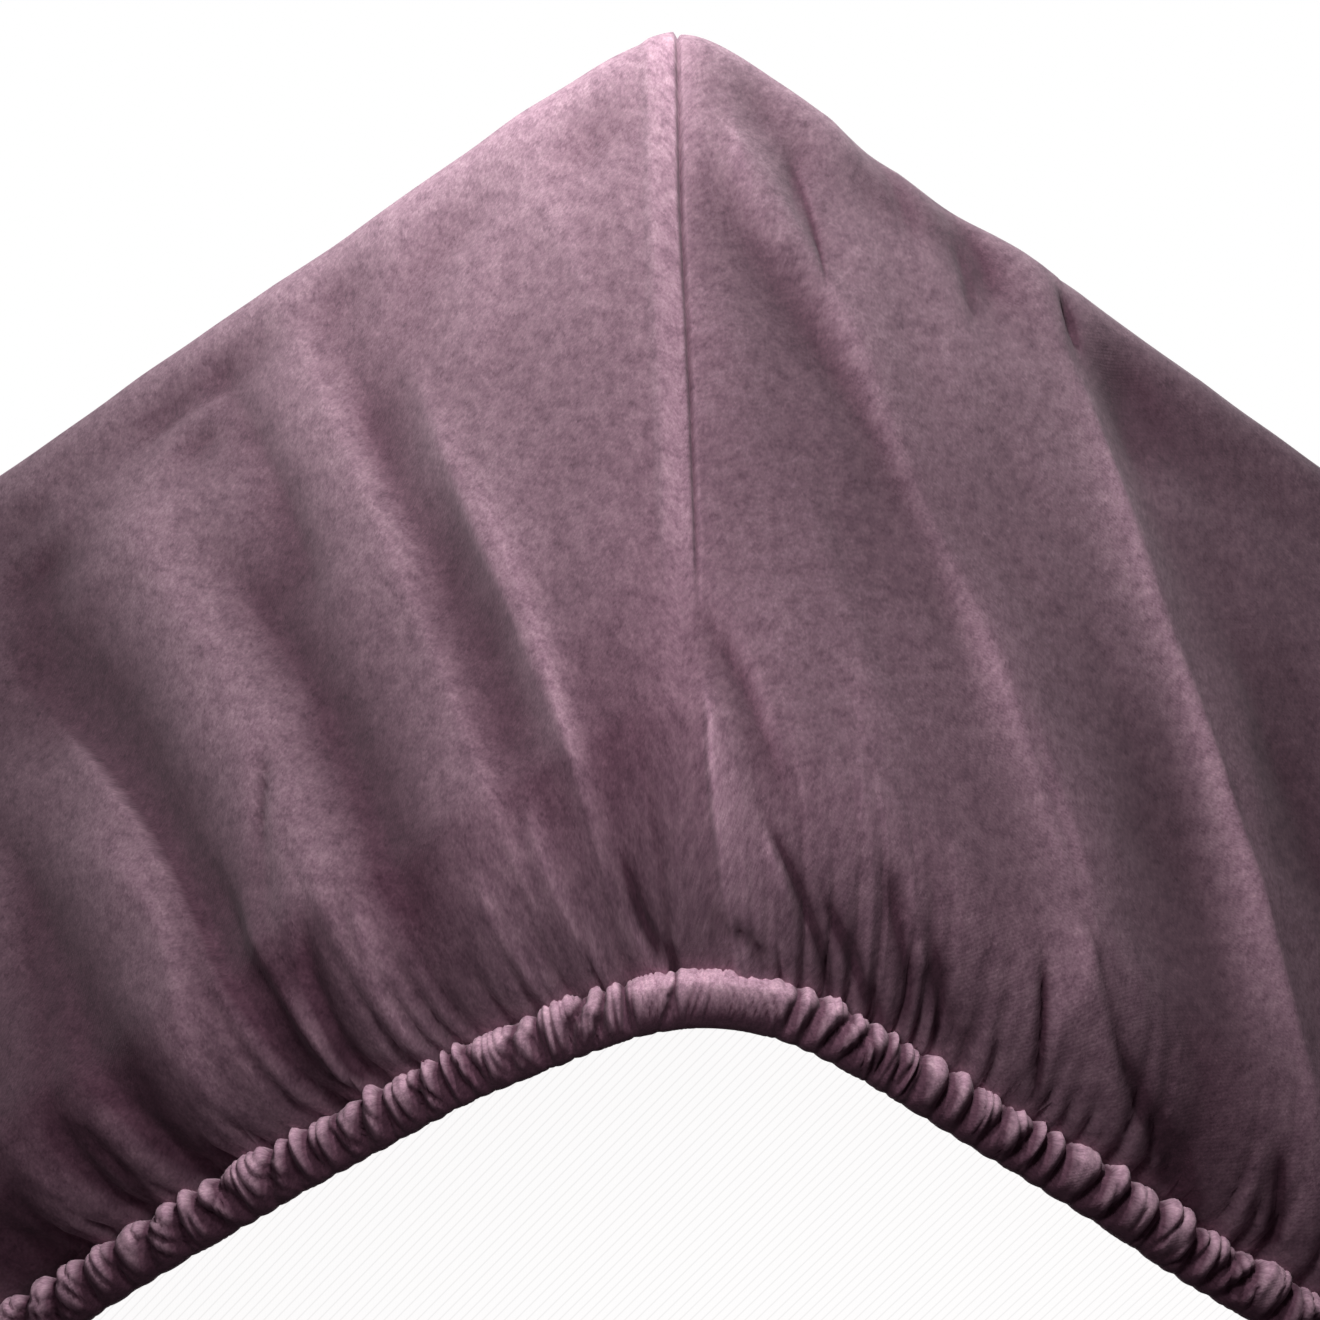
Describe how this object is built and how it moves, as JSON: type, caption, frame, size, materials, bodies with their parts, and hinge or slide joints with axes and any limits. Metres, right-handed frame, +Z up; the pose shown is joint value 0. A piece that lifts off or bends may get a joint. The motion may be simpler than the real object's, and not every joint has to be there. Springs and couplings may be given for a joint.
{
  "type": "fitted sheet on a mattress",
  "caption": "Plum cotton fitted sheet drawn over a single mattress, with sewn box corners, pulled folds on its walls and a gathered elastic hem tucked underneath",
  "frame": {"origin": "on the surface that the gathered hem rests on, under the middle of the mattress", "axes": "+Z up; +Y along the mattress's length; +X across it. The pictured corner is at +X and -Y"},
  "size_m": [0.925, 1.9247, 0.2195],
  "materials": {
    "sheet_cotton": "matte, slightly brushed plum cotton",
    "mattress_ticking": "white ticking with very faint fine stripes"
  },
  "bodies": {
    "root": {"sheet": "sheet_cotton", "mattress": "mattress_ticking"}
  },
  "joints": []
}
